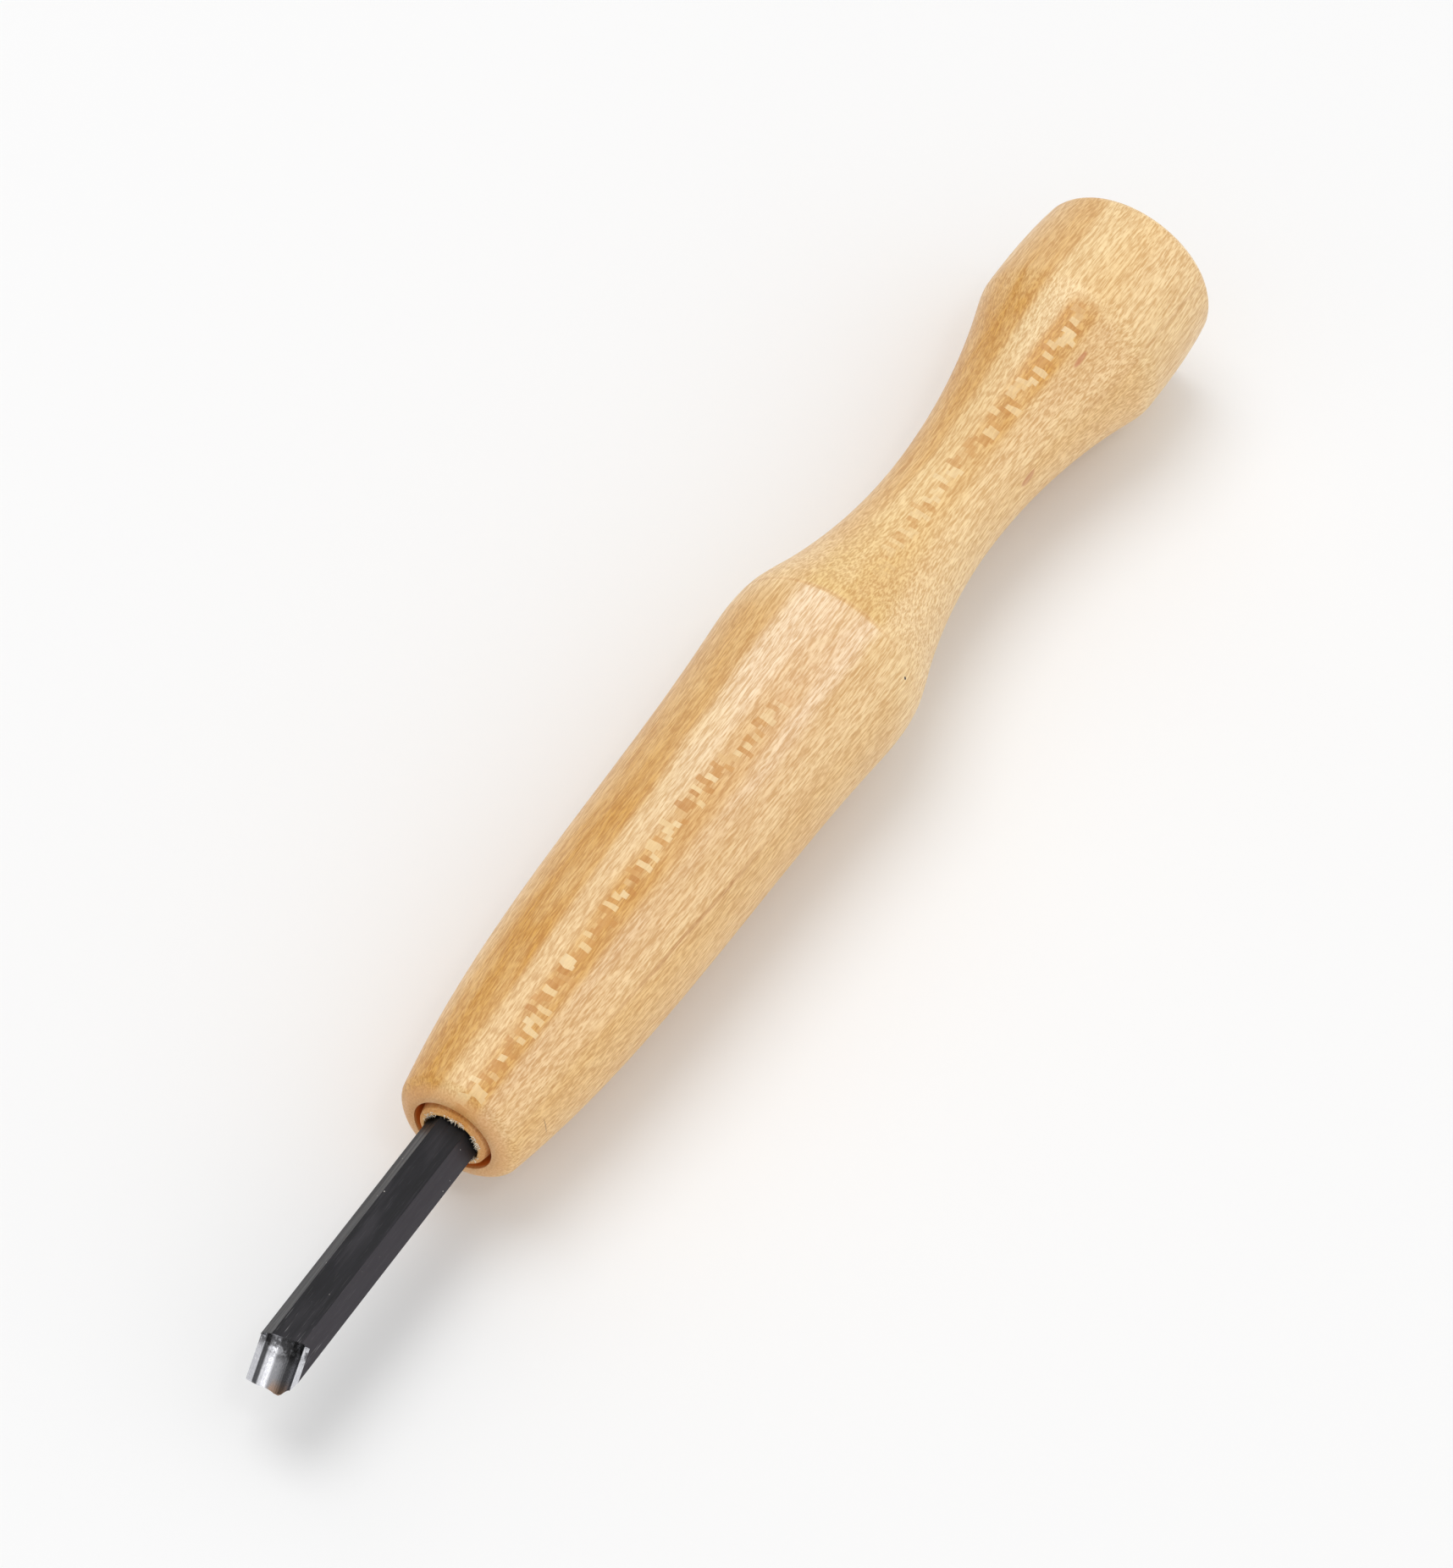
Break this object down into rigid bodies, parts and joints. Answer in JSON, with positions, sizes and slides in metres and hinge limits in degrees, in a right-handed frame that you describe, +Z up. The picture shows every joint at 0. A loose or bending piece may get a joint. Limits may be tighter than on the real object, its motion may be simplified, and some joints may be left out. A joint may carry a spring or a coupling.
{
  "type": "lino cutter",
  "caption": "Straight push-fit hand cutter: hexagonal steel bar with a milled step and flute at the tip, a sleeve, and a turned waisted wooden handle.",
  "frame": {"origin": "On the resting surface, below the middle of the tool's length and below its axis.", "axes": "+X along the axis from the cutting tip to the butt, +Z up (the flute faces up), +Y to the left when looking along +X."},
  "size_m": [0.1474, 0.0196, 0.0195],
  "materials": {
    "handle_wood": "clear satin lacquer on pale reddish-brown turned hardwood",
    "collet_wood": "unlacquered, with torn pale fibres round the rim",
    "blade_steel": "black oxide bar with bright milled faces at the tip"
  },
  "bodies": {
    "handle": {"handle": "handle_wood"},
    "collet": {"collet": "collet_wood"},
    "blade": {"blade": "blade_steel"}
  },
  "joints": [
    {"name": "collet_pull", "type": "slide", "parent": "handle", "child": "collet", "axis": [-1, 0, 0], "range_m": [0, 0.02]},
    {"name": "blade_pull", "type": "slide", "parent": "collet", "child": "blade", "axis": [-1, 0, 0], "range_m": [0, 0.032]}
  ]
}
